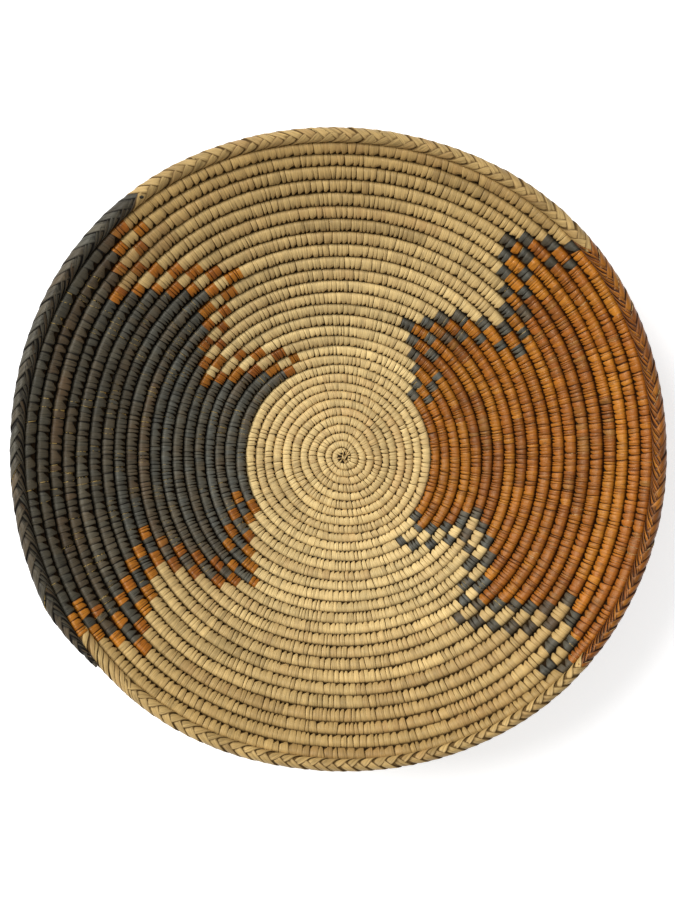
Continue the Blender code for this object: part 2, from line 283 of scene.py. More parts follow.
# The start knot: its crossed strips as turn, offset, half length and width, and the directions of the
# strips tucked round them. A height is a share of the top, its loss to the ends and its spread in
# millimetres.
KNOT_PLACE = (0.0013, -0.0002)
KNOT_TOP = 0.0052
KNOT_FOOT = 0.0006
KNOT_UNDER = 0.4
KNOT_THICK = 0.0005
# The knot's share of the rim's colour shift.
KNOT_RIM_SHIFT = 0.3
KNOT_FOLDS = (0.7, 1)
KNOT_STRIPS = (
    (62, -0.0006, 0.0030, 0.0013),
    (118, 0.0008, 0.0028, 0.0011),
    (80, 0.0012, 0.0026, 0.0009),
    (35, 0.0004, 0.0024, 0.0010),
)
CROSSED_BOW = 0.3
CROSSED_HEIGHT = (1, 0.5, 0.12)
CROSSED_THIN = 0.3
TUCKED_DEG = (-78, -58, -40, -22, -6, 12, 30, 50, 74, 108, 148, 192, 236)
TUCKED_SPREAD = 4
TUCKED_INNER = 0.0022
TUCKED_OUTER = 0.0050
TUCKED_HEIGHT = (0.86, 0.24, 0.15)
TUCKED_WIDTH = 0.00125
TUCKED_LEAST = 0.75
TUCKED_GROWTH = 0.25

# The low heap under the knot's strips, all in painted shade, so that the knot's middle shows dark.
HEAP_RADIUS = 0.0066
HEAP_RINGS = 7
HEAP_SIDES = 20
HEAP_TOP = 0.8
HEAP_LEAST = 0.05
HEAP_WAVE = 0.06
HEAP_LOBES = 5
HEAP_TWIST = 4
HEAP_SHEET = 2.4
HEAP_LOOK = (0, 0.7, 0, 1)

# The sheet that a mesh's patches are laid out on.
SHEET_MARGIN = 0.0005
SHEET_GROWTH = 1.01

# Textures of the leaf: places to a metre, across and along a strip or through space, then detail and
# roughness.
FINE_FIBRES = ((5200, 160, 1), 3, 0.6)
BROAD_FIBRES = ((1500, 90, 1), 2, 0.5)
# Thin lines of painted shade in creases along a strip.
CREASES = ((850, 35, 1), 1, 0.5)
BREAKS = ((300, 420, 1), 1, 0.5)
STAINS = (34, 3, 0.6)
# Noise that breaks up the edge of the painted shade.
SHADE_NOISE = (900, 2, 0.5)
STAIN_HUE = 0.5
STAIN_TONE = 0.2
SHADE_NOISE_SIZE = 0.2
CREASE_WIDTH = 0.05
BREAK_LEVEL = 0.47
# Where the painted shade begins and where it is full.
GROOVE_RANGE = (0.1, 0.95)
EDGE_STRENGTH = 0.85
FIBRE_ROUGH = 0.22
GROOVE_ROUGH = 0.25
BROAD_HEIGHT = 0.6

# Colours from hue 0 to hue 1.
NATURAL_HUES = (
    (0.0, (0.72, 0.53, 0.235)),
    (0.45, (0.645, 0.465, 0.202)),
    (0.75, (0.59, 0.415, 0.180)),
    (1.0, (0.55, 0.37, 0.158)),
)
DARK_HUES = (
    (0.0, (0.090, 0.090, 0.074)),
    (0.3, (0.096, 0.088, 0.064)),
    (0.7, (0.105, 0.083, 0.052)),
    (1.0, (0.108, 0.072, 0.040)),
)
RUST_HUES = (
    (0.0, (0.385, 0.138, 0.012)),
    (0.3, (0.325, 0.104, 0.008)),
    (0.55, (0.275, 0.082, 0.008)),
    (0.75, (0.215, 0.061, 0.008)),
    (1.0, (0.245, 0.098, 0.018)),
)

# Each leaf: how much of red, green and blue the rim shift takes away (a negative share adds), the
# painted shade colour of grooves, seams and teeth, the colour of a cut edge, how strong tones and fibres
# are, how dark the painted shade in a crease is (1 is none), and the finish.
LEAVES = {
    "natural_leaf": dict(
        hues=NATURAL_HUES, rim_loss=(0.34, 0.42, 0.54), groove=(0.125, 0.069, 0.019), cut=(0.62, 0.46, 0.2),
        tones=0.1, fibres=0.85, crease_shade=0.74, roughness=0.45, gloss=0.35, tint=(1.0, 0.9, 0.7),
    ),
    "dark_leaf": dict(
        hues=DARK_HUES, rim_loss=(0.28, 0.35, 0.45), groove=(0.009, 0.007, 0.005), cut=(0.46, 0.31, 0.09),
        tones=0.16, fibres=0.6, crease_shade=0.45, roughness=0.46, gloss=0.32, tint=(1.0, 0.97, 0.9),
    ),
    "rust_leaf": dict(
        hues=RUST_HUES, rim_loss=(-0.28, -0.28, -0.1), groove=(0.045, 0.009, 0.002), cut=(0.55, 0.38, 0.16),
        tones=0.09, fibres=0.5, crease_shade=0.5, roughness=0.34, gloss=0.48, tint=(1.0, 0.82, 0.58),
    ),
    "grass": dict(
        hues=NATURAL_HUES, rim_loss=(0.34, 0.42, 0.54), groove=(0.022, 0.012, 0.005), cut=(0.3, 0.2, 0.1),
        tones=0.1, fibres=0.3, crease_shade=1.0, roughness=0.85, gloss=0.1, tint=(1.0, 0.9, 0.7),
    ),
}

# The floor, the lamp and the room.
FLOOR_LIFT = 0.55
ROOM_LIGHT = 0.45
WHITE = (1, 1, 1)


def smooth_step(value):
    value = np.clip(value, 0, 1)
    return value * value * (3 - 2 * value)


def smooth_noise(rng, count, reach):
    """A gentle random line of about unit size."""
    window = np.hanning(2 * reach + 1)
    window /= math.sqrt((window**2).sum())
    return np.convolve(rng.normal(size=count + 2 * reach), window, "valid")


class Coil:
    """The bundle's middle line and section, tabled along the turns."""

    def __init__(self, rng):
        self.turn = np.arange(0, TURNS, 1 / STEPS)
        self.slope = self.slopes(self.turn)
        angle = self.turn * math.tau
        line = self.spiral(rng, angle)
        inner, outer = self.distances(line)
        corner = (np.minimum(inner, outer) - ROW_GAP) / 2 / FLAT_SHARE
        line[:, 2] += corner * (1 - 2 * FLAT_CUT)
        rise = np.clip(self.turn / START_TAPER, 0, 1)
        fall = np.clip((COIL_END - self.turn) / END_TAPER, 0, 1)
        taper = START_SHARE + (1 - START_SHARE) * rise
        ending = END_SHARE + (1 - END_SHARE) * fall
        self.inner = inner / 2 * taper * ending
        self.outer = np.where(self.turn > BRAID_START, outer / 2, outer / 2 * OUTER_SHARE) * ending
        self.high = corner * HEIGHT_SHARE * taper * ending
        drawn = (1 - ending) * corner * FLAT_SHARE
        flat = np.cos(self.slope)
        line[:, 0] -= drawn * flat * np.cos(angle)
        line[:, 1] -= drawn * flat * np.sin(angle)
        line[:, 2] -= drawn * np.sin(self.slope)
        self.line = line
        self.length = np.concatenate([[0], np.cumsum(np.linalg.norm(np.diff(line, axis=0), axis=1))])

    def spiral(self, rng, angle):
        step = 1 / STEPS
        middle = self.turn[:-1] + step / 2
        pitch = np.interp(middle, PITCH_TURNS, PITCHES)
        slope = self.slopes(middle)
        radius = np.concatenate([[0], np.cumsum(pitch * np.cos(slope) * step)])
        climb = np.concatenate([[0], np.cumsum(pitch * np.sin(slope) * step)])
        radius += FIRST_TURN * PITCHES[0] - radius[STEPS]
        share = self.turn / RIM_TURN
        radius += WIDE_OVAL * np.cos(2 * angle) * share
        radius += DIAGONAL_OVAL * np.cos(2 * (angle - math.radians(DIAGONAL_DEG))) * share**2
        radius -= CORNER_BULGE * np.cos(4 * angle) * share**2
        radius += self.sway(self.turn)
        calm = smooth_step(self.turn / CALM_START)
        calm = calm * smooth_step((COIL_END - self.turn) / CALM_END)
        count = len(self.turn)
        radius += smooth_noise(rng, count, WANDER_REACH) * WANDER_OUT * calm
        climb += smooth_noise(rng, count, WANDER_REACH) * WANDER_UP * calm * smooth_step(share * 2)
        x = radius * np.cos(angle) + DRIFT_X * share
        y = radius * np.sin(angle) + DRIFT_Y * share
        return np.stack([x, y, climb], 1)

    def distances(self, line):
        """How far off the next rows are. The last turn has none outside."""
        apart = np.linalg.norm(line[STEPS:] - line[:-STEPS], axis=1)
        inner = np.concatenate([apart[:STEPS], apart])
        outer = np.concatenate([apart, apart[-STEPS:]])
        alone = smooth_step((self.turn - COIL_END + 1) / END_BLEND / 2 + 0.5)
        return inner, outer + (inner - ROW_GAP - outer) * alone

    @staticmethod
    def slopes(turn):
        wall = WALL_SLOPE * smooth_step((turn - FLAT_TURNS) / (WALL_TURN - FLAT_TURNS))
        flare = (RIM_SLOPE - WALL_SLOPE) * np.maximum(turn - WALL_TURN, 0) / (RIM_TURN - WALL_TURN)
        return np.radians(wall + flare)

    @staticmethod
    def sway(turn):
        turns, *parts = np.array(SWAY).T
        total = np.zeros_like(turn)
        for number, part in enumerate(parts, 1):
            wave = np.sin if number % 2 and number > 1 else np.cos
            total += np.interp(turn, turns, part) * wave(number // 2 * math.tau * turn)
        return total * np.minimum(turn / SWAY_FULL, 1) * MM

    def read(self, values, turn):
        return np.interp(turn, self.turn, values)

    def surface(self, turn, degrees, lift, shrink=(1, 1)):
        """Places on the bundle's skin, lifted out of it and softly kept above the floor."""
        spot = np.stack([self.read(self.line[:, axis], turn) for axis in range(3)], -1)
        slope = self.read(self.slope, turn)
        angle = turn * math.tau
        flat = np.cos(slope)
        steep = np.sin(slope)
        across = np.stack([flat * np.cos(angle), flat * np.sin(angle), steep], -1)
        normal = np.stack([-steep * np.cos(angle), -steep * np.sin(angle), flat], -1)
        cos = np.cos(np.radians(degrees))
        sin = np.sin(np.radians(degrees))
        power = 2 / ROUNDNESS
        side = np.sign(cos) * np.abs(cos) ** power
        top = np.sign(sin) * np.abs(sin) ** power
        half = np.where(side > 0, self.read(self.outer, turn), self.read(self.inner, turn))
        out_share = side * half * shrink[0] + cos * lift
        up_share = top * self.read(self.high, turn) * shrink[1] + sin * lift
        place = spot + across * out_share[..., None] + normal * up_share[..., None]
        low = place[..., 2] < FLOOR_SOFT
        rest = FLOOR_SOFT * np.exp(np.minimum(place[..., 2] / FLOOR_SOFT - 1, 0))
        place[..., 2] = np.where(low, rest, place[..., 2])
        return place

    def along(self, turn):
        return self.read(self.length, turn)

    def turns_along(self, turn, length):
        """The turn that lies a length further on along the coil."""
        return np.interp(self.along(turn) + length, self.length, self.turn)


def colour_changes():
    """The turns where the colour changes, with the new colour."""
    changes = [(FIRST_STITCH, "n")]
    for row, quarters in enumerate(CHART):
        for place, quarter in enumerate((3, 0, 1, 2)):
            whole = CHART_TURN + row - (1 if quarter == 3 else 0)
            edges = quarters[place]
            letters = CHART_COLOURS[quarter] if len(edges) == 4 else CHART_SINGLES[quarter]
            for edge, letter in zip(edges, letters[1:]):
                changes.append((whole + (quarter + edge / CHART_UNITS) / 4, letter))
    return changes


def strip_numbers(rng, count):
    """Numbers the leaf strip of each stitch, and counts the strips."""
    numbers = np.zeros(count, int)
    start = 0
    number = 0
    while start < count:
        end = start + int(rng.integers(*STRIP_STITCHES))
        numbers[start:end] = number
        start = end
        number += 1
    return numbers, number


def stitch_widths(coil, rng, start, colour, length):
    """The widths of the stitches that fill a stretch of one colour."""
    widths = []
    while sum(widths) < length:
        here = coil.turns_along(start, sum(widths))
        mean = np.interp(here, WIDTH_TURNS, WIDTHS)
        mean *= np.interp(here, SHARE_TURNS, WIDTH_SHARES[colour])
        widths.append(mean * float(np.clip(rng.lognormal(0, WIDTH_SPREADS[colour]), *WIDTH_LIMITS)))
    if len(widths) > 1 and sum(widths) - length > widths[-1] / 2:
        widths.pop()
    return widths


class Stitches:
    """Every stitch: its start, its colour and its small differences."""

    def __init__(self, coil, rng):
        changes = colour_changes()
        ends = [turn for turn, _ in changes[1:]] + [STITCH_END]
        seams = []
        colours = []
        for (start, colour), end in zip(changes, ends):
            begin = coil.along(start)
            length = coil.along(end) - begin
            widths = stitch_widths(coil, rng, start, colour, length)
            places = begin + np.concatenate([[0], np.cumsum(widths)[:-1]]) * length / sum(widths)
            seams += list(np.interp(places, coil.length, coil.turn))
            colours += [colour] * len(widths)
        self.count = len(colours)
        self.seam = np.array(seams + [STITCH_END])
        self.colour = np.array(colours)
        self.middle = (self.seam[1:] + self.seam[:-1]) / 2
        self.width = np.diff(coil.along(self.seam))
        self.rim_shift = np.clip((self.middle - RIM_SHIFT_FROM) / (RIM_TURN - RIM_SHIFT_FROM), 0, 1)
        self.differ(rng)

    def differ(self, rng):
        count = self.count
        by_colour = np.array([COLOUR_TABLE[colour] for colour in self.colour]).T
        self.tooth_height, tooth_size, tooth_depth, tooth_chance, self.groove_dip = by_colour[:5]
        seam_share, self.seam_width, self.edge_chance = by_colour[5:]
        strips, strip_count = strip_numbers(rng, count)
        tone = rng.normal(0, 1, strip_count)[strips] * STRIP_TONE
        self.tone = tone + rng.normal(0, 1, count) * STITCH_TONE
        hue = rng.beta(*HUE_SHAPE, strip_count)[strips]
        self.hue = np.clip(hue + rng.normal(0, HUE_SPREAD, count), 0, 1)
        self.lift = np.clip(rng.normal(0, LIFT_SPREAD, count), -LIFT_LIMIT, LIFT_LIMIT)
        self.tilt = rng.normal(*TILT, count)
        self.tooth = np.clip(rng.normal(*TOOTH_SIZE, count), *TOOTH_LIMITS)
        self.tooth *= tooth_size
        self.tooth[rng.random(count) > tooth_chance] *= SMALL_TOOTH
        self.tooth_depth = self.tooth * tooth_depth
        self.seam_dip = np.clip(rng.lognormal(*SEAM_DEPTH, count + 1), *SEAM_LIMITS)
        self.seam_dip[:-1] *= seam_share
        self.lean = rng.normal(*LEAN, count + 1)
        self.edge = rng.random(count)
        self.shift = rng.random(count)


def ring_values(coil, stitches):
    """Each stitch's tooth, lean, groove and seam at the angles round the bundle."""
    degrees = np.array(RING_DEG, float)
    slope = np.degrees(coil.read(coil.slope, stitches.middle))[:, None]
    above = degrees <= 180
    from_outer = np.minimum(degrees, 360 - degrees)
    hidden = np.where(above, slope, HIDDEN_SHARE * slope)
    seen = np.cos(np.radians(np.minimum(from_outer + hidden, 180)))
    span = np.maximum(1 + np.cos(np.radians(2 * hidden)), LEAST_SPAN)
    height = stitches.tooth_height[:, None] * span
    tooth = np.clip((height - 1 - seen) / height, 0, 1)
    lean = np.where(above, (degrees - 90) / 90, (270 - degrees) / 90)
    inner_groove = smooth_step((INNER_GROOVE - 1 - seen) / INNER_SOFT)
    outer_groove = smooth_step((slope + OUTER_GROOVE - from_outer) / OUTER_SOFT)
    seam = SEAM_LEAST + SEAM_GROWTH * smooth_step((from_outer - SEAM_FROM) / SEAM_SOFT)
    return degrees, tooth, lean, np.maximum(inner_groove, outer_groove), seam


def closed(grid):
    """All the columns in a row, then a copy of the last stitch's first column."""
    return np.concatenate([grid.reshape(-1, grid.shape[-1]), grid[-1, :1]])


def skin_turns(stitches, tooth, lean):
    """The turn of every point: the seams lean, and the columns move aside for a tooth."""
    shares = COLUMN_PLACE
    spread = stitches.seam_width[:, None]
    place = np.where(shares < 0.5, shares * spread, 1 - (1 - shares) * spread)[:, :, None]
    wide = np.minimum(stitches.tooth, TOOTH_WIDEST)[:, None, None] * tooth[:, None, :]
    share = place + TOOTH_MOVE * wide
    arc = stitches.width / np.diff(stitches.seam)
    shift = np.append(stitches.width, stitches.width[-1]) / np.append(arc, arc[-1])
    shift = (shift * stitches.lean)[:, None] * lean[None, :]
    shift[0] = 0
    shift[-1] = 0
    seam = stitches.seam[:, None] + shift
    turn = seam[:-1, None, :] * (1 - share) + seam[1:, None, :] * share
    return np.concatenate([turn.reshape(-1, turn.shape[-1]), seam[-1:]])


def skin_lifts(stitches, cut, groove, seam_share, apart):
    """How far every point stands out: seams, teeth and grooves are pressed in."""
    dip = SEAM_DIP * np.ones((stitches.count, 1, len(apart)))
    dip[:, :2] *= (stitches.seam_dip[:-1, None] * seam_share)[:, None, :]
    dip[:, 4] *= stitches.seam_dip[1:, None] * seam_share
    dip += TOOTH_DIP * stitches.tooth_depth[:, None, None] * cut * apart
    dip += (stitches.groove_dip[:, None] * groove * apart)[:, None, :]
    raised = stitches.lift[:, None] + stitches.tilt[:, None] * (COLUMN_PLACE - 0.5)
    before = np.concatenate([stitches.lift[:1], stitches.lift[:-1]])
    raised[:, 0] = (before + stitches.lift) / 2
    relief = RELIEF_START + RELIEF_GROWTH * stitches.middle[:, None, None] / RIM_TURN
    lift = (raised[:, :, None] - dip) * relief * MM
    lift[:, :, ~apart] = TOUCHING_LIFT
    return closed(lift)


def skin_shades(stitches, cut, groove, seam_share):
    """How much painted shade (the groove's colour) every point takes, in seams, teeth and grooves."""
    shade = SEAM_SHADE * np.ones((stitches.count, 1, len(seam_share)))
    shade[:, :2] *= stitches.seam_dip[:-1, None, None]
    shade[:, 4] *= stitches.seam_dip[1:, None]
    shade *= seam_share
    shade += TOOTH_SHADE * np.minimum(stitches.tooth[:, None, None] * cut, 1)
    shade += (groove * GROOVE_SHADE)[:, None, :]
    return np.clip(closed(shade), 0, 1)


class CoilSkin:
    """The grid of points over all the stitches, with five columns to a stitch."""

    def __init__(self, coil, stitches):
        degrees, tooth, lean, groove, seam_share = ring_values(coil, stitches)
        apart = ~np.isin(degrees, TOUCHING_DEG)
        cut = smooth_step(tooth * TOOTH_SHARP)[:, None, :]
        turn = skin_turns(stitches, tooth, lean)
        lift = skin_lifts(stitches, cut, groove, seam_share, apart)
        self.stitches = stitches
        self.points = coil.surface(turn, np.broadcast_to(degrees, turn.shape), lift)
        # Each point's share of painted shade, standing for the shade in seams, teeth and grooves.
        self.dip = skin_shades(stitches, cut, groove, seam_share)
        half = (coil.read(coil.inner, stitches.middle) + coil.read(coil.high, stitches.middle)) / 2
        self.girth = half * math.tau
        self.round_shares = np.append(degrees, 360) / 360


def sheet_places(widths, heights):
    """Lays boxes on a square sheet: each box's corner, and the square's side."""
    side = math.sqrt(((widths + SHEET_MARGIN) * (heights + SHEET_MARGIN)).sum())
    while True:
        corners = np.zeros((len(widths), 2))
        across = 0.0
        up = 0.0
        tallest = 0.0
        for number, (width, height) in enumerate(zip(widths, heights)):
            if across + width > side:
                across = 0.0
                up += tallest + SHEET_MARGIN
                tallest = 0.0
            corners[number] = (across, up)
            across += width
            tallest = max(tallest, height)
        if up + tallest <= side:
            return corners, side
        side *= SHEET_GROWTH


def on_sheet(local, widths, heights):
    """Moves each patch's own places onto one square sheet."""
    corners, side = sheet_places(widths, heights)
    patches = local.reshape(len(widths), -1, 2)
    return ((patches + corners[:, None]) / side).reshape(local.shape)


def face_places(left, right, low, high):
    corners = np.broadcast_arrays(left, low, right, low, right, high, left, high)
    return np.stack(corners, -1).reshape(*corners[0].shape, 4, 2)


def face_block(faces, fibre, sheet, looks):
    """Four-sided faces with their places and looks, for make_mesh."""
    return faces.reshape(-1, 4), fibre.reshape(-1, 4, 2), sheet.reshape(-1, 4, 2), looks.reshape(-1, 4)


def cap_block(caps):
    """Flat ends, which need no places or looks of their own."""
    flat = np.zeros((*caps.shape, 2))
    return caps, flat, flat, np.zeros((len(caps), 4))


def ring_faces(number):
    onward = np.roll(number, -1, -1)
    corners = (number[..., :-1, :], onward[..., :-1, :], onward[..., 1:, :], number[..., 1:, :])
    return np.stack(corners, -1)


def put(owner, key, values, kind=np.float32):
    owner.foreach_set(key, values.astype(kind).ravel())


def make_mesh(name, points, painted_shade, blocks, material):
    """One mesh from blocks of faces, with their places and their looks."""
    mesh = bpy.data.meshes.new(name)
    faces = [block[0] for block in blocks]
    loops = np.concatenate([part.ravel() for part in faces])
    sizes = np.concatenate([np.full(len(part), part.shape[1]) for part in faces])
    mesh.vertices.add(points.size // 3)
    put(mesh.vertices, "co", points)
    mesh.loops.add(len(loops))
    put(mesh.loops, "vertex_index", loops, np.int32)
    mesh.polygons.add(len(sizes))
    put(mesh.polygons, "loop_start", np.cumsum(sizes) - sizes, np.int32)
    put(mesh.polygons, "loop_total", sizes, np.int32)
    put(mesh.polygons, "use_smooth", sizes, bool)
    mesh.update(calc_edges=True)
    for layer, place in (("OFBake", 2), ("fibre", 1)):
        values = np.concatenate([block[place].reshape(-1, 2) for block in blocks])
        put(mesh.uv_layers.new(name=layer).data, "uv", values)
    looks = np.concatenate([block[3] for block in blocks])
    for number, label in enumerate(("tone", "hue", "edge", "rim_shift")):
        put(mesh.attributes.new(label, "FLOAT", "FACE").data, "value", looks[:, number])
    # Each point's share of painted shade, kept in the attribute named dip.
    put(mesh.attributes.new("dip", "FLOAT", "POINT").data, "value", painted_shade)
    mesh.materials.append(material)
    piece = placed(name, mesh)
    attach(piece, "root")
    return piece


def stitch_looks(stitches, numbers):
    """The looks of each column. Only a stitch's outer columns can be a cut edge."""
    edge = np.zeros((len(numbers), COLUMNS))
    shown = stitches.edge[numbers] < stitches.edge_chance[numbers]
    edge[:, -1] = shown
    edge[:, 0] = shown & (stitches.shift[numbers] > BOTH_EDGES)
    shared = (stitches.tone, stitches.hue, stitches.rim_shift)
    tone, hue, rim_shift = (np.repeat(values[numbers], COLUMNS) for values in shared)
    return np.stack([tone, hue, edge.ravel(), rim_shift], -1)


def stitch_piece(name, skin, chosen, material):
    """A piece made of some stitches, with a cap at each end of a run."""
    stitches = skin.stitches
    rings = skin.points.shape[1]
    numbers = np.flatnonzero(chosen)
    columns = (numbers[:, None] * COLUMNS + np.arange(COLUMNS)).ravel()
    used = np.unique(np.concatenate([columns, columns + 1]))
    renumber = np.full(len(skin.points), -1)
    renumber[used] = np.arange(len(used))
    ring = np.arange(rings)
    onward = (ring + 1) % rings
    near = renumber[columns][:, None] * rings
    far = renumber[columns + 1][:, None] * rings
    faces = np.stack([near + ring, far + ring, far + onward, near + onward], -1)
    widths = stitches.width[numbers]
    girths = skin.girth[numbers]
    edges = np.append(COLUMN_PLACE, 1)
    left = (widths[:, None] * edges[:-1]).reshape(-1, 1)
    right = (widths[:, None] * edges[1:]).reshape(-1, 1)
    tall = np.repeat(girths, COLUMNS)[:, None]
    local = face_places(left, right, tall * skin.round_shares[:-1], tall * skin.round_shares[1:])
    shift = np.repeat(stitches.shift[numbers], COLUMNS)
    fibre = local + np.stack([shift, shift * FIBRE_SHIFT], -1)[:, None, None, :]
    looks = np.repeat(stitch_looks(stitches, numbers)[:, None], rings, 1)
    starts = columns[~np.isin(columns - 1, columns)]
    ends = columns[~np.isin(columns + 1, columns)] + 1
    first_caps = renumber[starts][:, None] * rings + ring[::-1]
    last_caps = renumber[ends][:, None] * rings + ring
    blocks = [
        face_block(faces, fibre, on_sheet(local, widths, girths), looks),
        cap_block(np.concatenate([first_caps, last_caps])),
    ]
    return make_mesh(name, skin.points[used], skin.dip[used], blocks, material)


def tube_piece(name, coil, stretch, bundle, material):
    """A plain bundle along a stretch of the coil, coloured all over with painted shade."""
    step, (across, up, lift), look = bundle
    begin, end = coil.along(stretch)
    count = max(int((end - begin) / step), LEAST_RINGS)
    turn = coil.turns_along(0, np.linspace(begin, end, count))
    degrees = np.arange(0, 360, 30)
    shape = (count, len(degrees))
    grid = np.broadcast_to(turn[:, None], shape)
    ring = np.broadcast_to(degrees, shape)
    points = coil.surface(grid, ring, np.full(shape, lift), (across, up))
    number = np.arange(grid.size).reshape(shape)
    onward = np.roll(number, -1, 1)
    faces = np.stack([number[:-1], number[1:], onward[1:], onward[:-1]], -1)
    tall = float(coil.read(coil.high, turn).max()) * math.tau
    low = np.arange(len(degrees)) / len(degrees) * tall
    width = (end - begin) / (count - 1)
    local = face_places(np.zeros((count - 1, 1)), width, low, low + tall / len(degrees))
    sheet = on_sheet(local, np.full(count - 1, width), np.full(count - 1, tall))
    fibre = local[..., ::-1] + np.arange(count - 1)[:, None, None, None] * np.array([0, width])
    looks = np.broadcast_to(np.array(look), (*faces.shape[:2], 4))
    blocks = [face_block(faces, fibre, sheet, looks), cap_block(np.stack([number[0, ::-1], number[-1]]))]
    # Every point takes the full painted shade.
    return make_mesh(name, points, np.ones(grid.size), blocks, material)


def strip_rise(fold, tilt):
    """How high a strip's points lie at each station, as shares of its thickness."""
    rise = np.tile(STRIP_UP, (len(tilt), 1))
    rise[:, STRIP_FOLD] = fold
    return rise + 2 * tilt[:, None] * STRIP_ACROSS


def strip_shades(folds, stations):
    """Painted shade in a strip's colour: at its edges and underside, most at the tucked ends and under a
    fold.
    """
    ends = np.linspace(0, 1, stations)
    ends = smooth_step((STRIP_END - np.minimum(ends, 1 - ends)) / STRIP_END)
    shade = STRIP_SHADE + (ends * END_SHADE)[:, None]
    shade = np.repeat(shade[None], len(folds), 0)
    shade[:, :, STRIP_FOLD] += np.clip(FOLD_SHADE - FOLD_LOSS * folds, 0, 1)[:, None]
    return np.clip(shade, 0, 1)


def strips_piece(name, points, widths, looks, folds, material):
    """Single strips of leaf, from the points of their sections."""
    count, stations, rings = points.shape[:3]
    number = np.arange(count * stations * rings).reshape(count, stations, rings)
    faces = ring_faces(number)
    length = np.linalg.norm(np.diff(points.mean(2), axis=1), axis=-1)
    reach = np.concatenate([np.zeros((count, 1)), np.cumsum(length, 1)], 1)
    girth = widths * STRIP_GIRTH
    share = np.arange(rings + 1) / rings
    low = girth[:, None, None] * share[:-1]
    high = girth[:, None, None] * share[1:]
    around = face_places(low, high, reach[:, :-1, None], reach[:, 1:, None])
    sheet = on_sheet(around[..., ::-1], reach[:, -1], girth)
    fibre = around + looks[:, 0][:, None, None, None, None]
    face_looks = np.tile(looks[:, None, None], (1, stations - 1, rings, 1))
    face_looks[:, :, np.arange(rings) != EDGE_FACE, 2] = 0
    caps = np.concatenate([number[:, 0], number[:, -1, ::-1]])
    blocks = [face_block(faces, fibre, sheet, face_looks), cap_block(caps)]
    return make_mesh(name, points, strip_shades(folds, stations), blocks, material)


def arm_starts(coil, run):
    """Each strip's start, angles, width, slant and cover."""
    first, last, pitch, slants, inner_count = run
    opened = first + (OPENING_SPAN if first == BRAID_START else 0)
    begin, middle, end = coil.along((first, opened, last))
    opening = (OPENING_DEG, ARM_DEG[0][1], OPENING_PITCH, slants[0], ARM_COVER)
    starts = [(spot, *opening) for spot in np.arange(begin, middle, OPENING_PITCH)]
    for column, (from_deg, to_deg) in enumerate(ARM_DEG):
        apart = pitch / (inner_count if column else 1)
        cover = NARROW_COVER if column and inner_count > 1 else ARM_COVER
        laid = (from_deg, to_deg, apart, slants[column], cover)
        starts += [(spot, *laid) for spot in np.arange(middle + column * apart / 2, end, apart)]
    return starts


def braid_arm(coil, rng, spot, from_deg, to_deg, width, slant_deg, cover):
    """One strip's points, width and fold, or None where the coil ends too soon."""
    share = np.linspace(0, 1, ARM_STATIONS)
    begins = from_deg + rng.normal(0, BEGIN_SPREAD)
    degrees = begins + (to_deg + rng.normal(0, END_SPREAD) - begins) * share
    start = spot + rng.normal(0, PLACE_SPREAD) * width
    here = coil.turns_along(0, start)
    reach = coil.read(coil.high, here)
    slant = math.radians(slant_deg) + rng.normal(0, SLANT_SPREAD)
    travel = np.abs(degrees - begins) * math.pi / 180 * reach / math.tan(slant)
    turn = coil.turns_along(0, start + travel)
    left = (COIL_END - here) / (turn[-1] - here)
    if left < ARM_SHORTEST:
        return None
    turn = here + (turn - here) * min(1, left)
    tuck = smooth_step((ARM_TUCK - np.minimum(share, (1 - share) * ARM_END_TUCK)) / ARM_TUCK)
    small = float(reach / coil.read(coil.high, COIL_END - ARM_SIZE_BACK))
    lift = ARM_LIFT + rng.normal(0, ARM_LIFT_SPREAD) * MM - tuck * ARM_TUCK_DEPTH
    along = np.gradient(coil.along(turn))
    around = np.gradient(np.radians(degrees)) * reach
    step = np.hypot(along, around)
    wide = width * np.abs(around / step) * cover * (1 + rng.normal(0, ARM_WIDTH_SPREAD)) * small
    inward = smooth_step((degrees - ARM_FLAT) / (ARM_STEEP - ARM_FLAT))
    tilt = ARM_TILT_OUT + (ARM_TILT - ARM_TILT_OUT) * inward
    fold = rng.uniform(*ARM_FOLDS)
    aside = STRIP_ACROSS * (wide * (1 - ARM_TUCK_THIN * tuck))[:, None]
    length = coil.along(turn)[:, None] - aside * (around / step)[:, None]
    length = np.minimum(length, coil.along(COIL_END))
    ring = degrees[:, None] + np.degrees(aside * (along / step)[:, None] / reach)
    rise = strip_rise(fold, tilt * np.sign(from_deg - to_deg)) * ARM_THICK
    points = coil.surface(coil.turns_along(0, length), ring, (lift[:, None] + rise) * small)
    return points, wide.max(), fold


def braid_run(name, coil, rng, run, rim_shift, material):
    """One colour's run of the rim braid, and its bundle."""
    arms = [braid_arm(coil, rng, *start) for start in arm_starts(coil, run)]
    points, widths, folds = (np.array(part) for part in zip(*(arm for arm in arms if arm is not None)))
    count = len(points)
    tone = rng.normal(0, BRAID_TONES, count)
    hue = np.clip(rng.beta(*BRAID_HUES, count), 0, 1)
    edge = rng.random(count) < BRAID_EDGES
    looks = np.stack([tone, hue, edge, np.full(count, rim_shift)], -1)
    strips = strips_piece(name, points, widths, looks, folds, material)
    # The braid's bundle shows only in the gaps between strips, all in painted shade.
    core = tube_piece(name + "_bundle", coil, run[:2], CORE, material)
    return strips, core


def knot_lifted(rng, line, share, height):
    """A strip's line, raised to the knot's top, highest at its middle."""
    top, drop, spread = height
    line[:, 2] = KNOT_TOP * (top - drop * share**2) + rng.normal(0, spread) * MM
    return line


